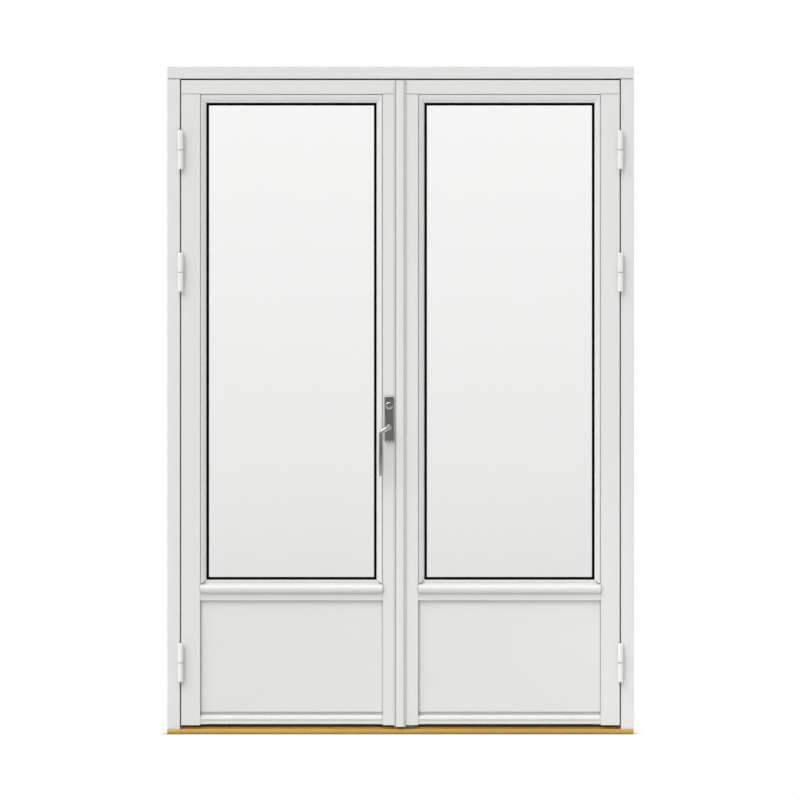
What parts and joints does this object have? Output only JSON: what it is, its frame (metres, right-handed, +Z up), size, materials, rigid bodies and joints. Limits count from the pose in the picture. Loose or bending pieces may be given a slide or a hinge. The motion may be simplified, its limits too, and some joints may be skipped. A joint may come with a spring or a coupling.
{
  "type": "french doors",
  "caption": "Pair of white glazed doors with panelled bases that swing outwards in a rebated frame with an oak threshold, bolted at head and sill by a lever handle.",
  "frame": {"origin": "middle of the threshold's flat underside, halfway between the jambs and halfway through the frame's depth", "axes": "+Z up, +X to the right as seen from outside, -Y towards the outside, where the leaves open to"},
  "size_m": [1.39, 0.1645, 1.99],
  "materials": {
    "paint": "satin white paint on wood",
    "oak": "oiled oak",
    "glass": "clear float glass",
    "rubber": "matt black rubber",
    "spacer": "matt black spacer bar",
    "hinge_paint": "white powder coat on steel",
    "handle_metal": "satin grey metal",
    "steel": "zinc-plated steel"
  },
  "bodies": {
    "frame": {"frame_head": "paint", "left_jamb": "paint", "right_jamb": "paint", "threshold": "oak", "frame_seal": "rubber", "left_hinge_frame_leaves": "hinge_paint", "right_hinge_frame_leaves": "hinge_paint", "hinge_pins": "steel", "bolt_keeps": "steel"},
    "left_leaf": {"left_hinge_stile": "paint", "left_lock_stile": "paint", "left_top_rail": "paint", "left_mid_rail": "paint", "left_bottom_rail": "paint", "left_panel": "paint", "left_outer_pane": "glass", "left_inner_pane": "glass", "left_spacer": "spacer", "left_gasket": "rubber", "left_hinge_bead": "paint", "left_lock_bead": "paint", "left_top_bead": "paint", "left_bottom_bead": "paint", "left_weather_bar": "paint", "left_low_hinge_leaf": "hinge_paint", "left_middle_hinge_leaf": "hinge_paint", "left_top_hinge_leaf": "hinge_paint", "astragal": "paint", "outer_handle_plate": "handle_metal", "inner_handle_plate": "handle_metal", "lock_case": "steel", "lock_cover": "steel", "lock_faceplate": "steel"},
    "handle": {"outer_lever": "handle_metal", "inner_lever": "handle_metal", "handle_spindle": "steel", "lock_pinion": "steel"},
    "upper_bolt": {"upper_bolt": "steel"},
    "lower_bolt": {"lower_bolt": "steel"},
    "right_leaf": {"right_hinge_stile": "paint", "right_lock_stile": "paint", "right_top_rail": "paint", "right_mid_rail": "paint", "right_bottom_rail": "paint", "right_panel": "paint", "right_outer_pane": "glass", "right_inner_pane": "glass", "right_spacer": "spacer", "right_gasket": "rubber", "right_hinge_bead": "paint", "right_lock_bead": "paint", "right_top_bead": "paint", "right_bottom_bead": "paint", "right_weather_bar": "paint", "right_low_hinge_leaf": "hinge_paint", "right_middle_hinge_leaf": "hinge_paint", "right_top_hinge_leaf": "hinge_paint", "edge_bolt_plates": "steel"},
    "upper_edge_bolt": {"upper_edge_bolt": "steel"},
    "lower_edge_bolt": {"lower_edge_bolt": "steel"}
  },
  "joints": [
    {"name": "left_leaf_swing", "type": "hinge", "parent": "frame", "child": "left_leaf", "pos_m": [-0.655, -0.068, 0.99], "axis": [0, 0, -1], "range_deg": [0, 110]},
    {"name": "right_leaf_swing", "type": "hinge", "parent": "frame", "child": "right_leaf", "pos_m": [0.655, -0.068, 0.99], "axis": [0, 0, 1], "range_deg": [0, 110]},
    {"name": "handle_turn", "type": "hinge", "parent": "left_leaf", "child": "handle", "pos_m": [-0.0335, -0.0295, 0.914], "axis": [0, 1, 0], "range_deg": [0, 90]},
    {"name": "upper_bolt_slide", "type": "slide", "parent": "left_leaf", "child": "upper_bolt", "axis": [0, 0, 1], "range_m": [0, 0.0142]},
    {"name": "lower_bolt_slide", "type": "slide", "parent": "left_leaf", "child": "lower_bolt", "axis": [0, 0, -1], "range_m": [0, 0.0142]},
    {"name": "upper_edge_bolt_slide", "type": "slide", "parent": "right_leaf", "child": "upper_edge_bolt", "axis": [0, 0, 1], "range_m": [0, 0.014]},
    {"name": "lower_edge_bolt_slide", "type": "slide", "parent": "right_leaf", "child": "lower_edge_bolt", "axis": [0, 0, -1], "range_m": [0, 0.014]}
  ],
  "couplings": [
    {"joint": "upper_bolt_slide", "follows": "handle_turn", "m_per_rad": 0.009},
    {"joint": "lower_bolt_slide", "follows": "handle_turn", "m_per_rad": 0.009}
  ]
}
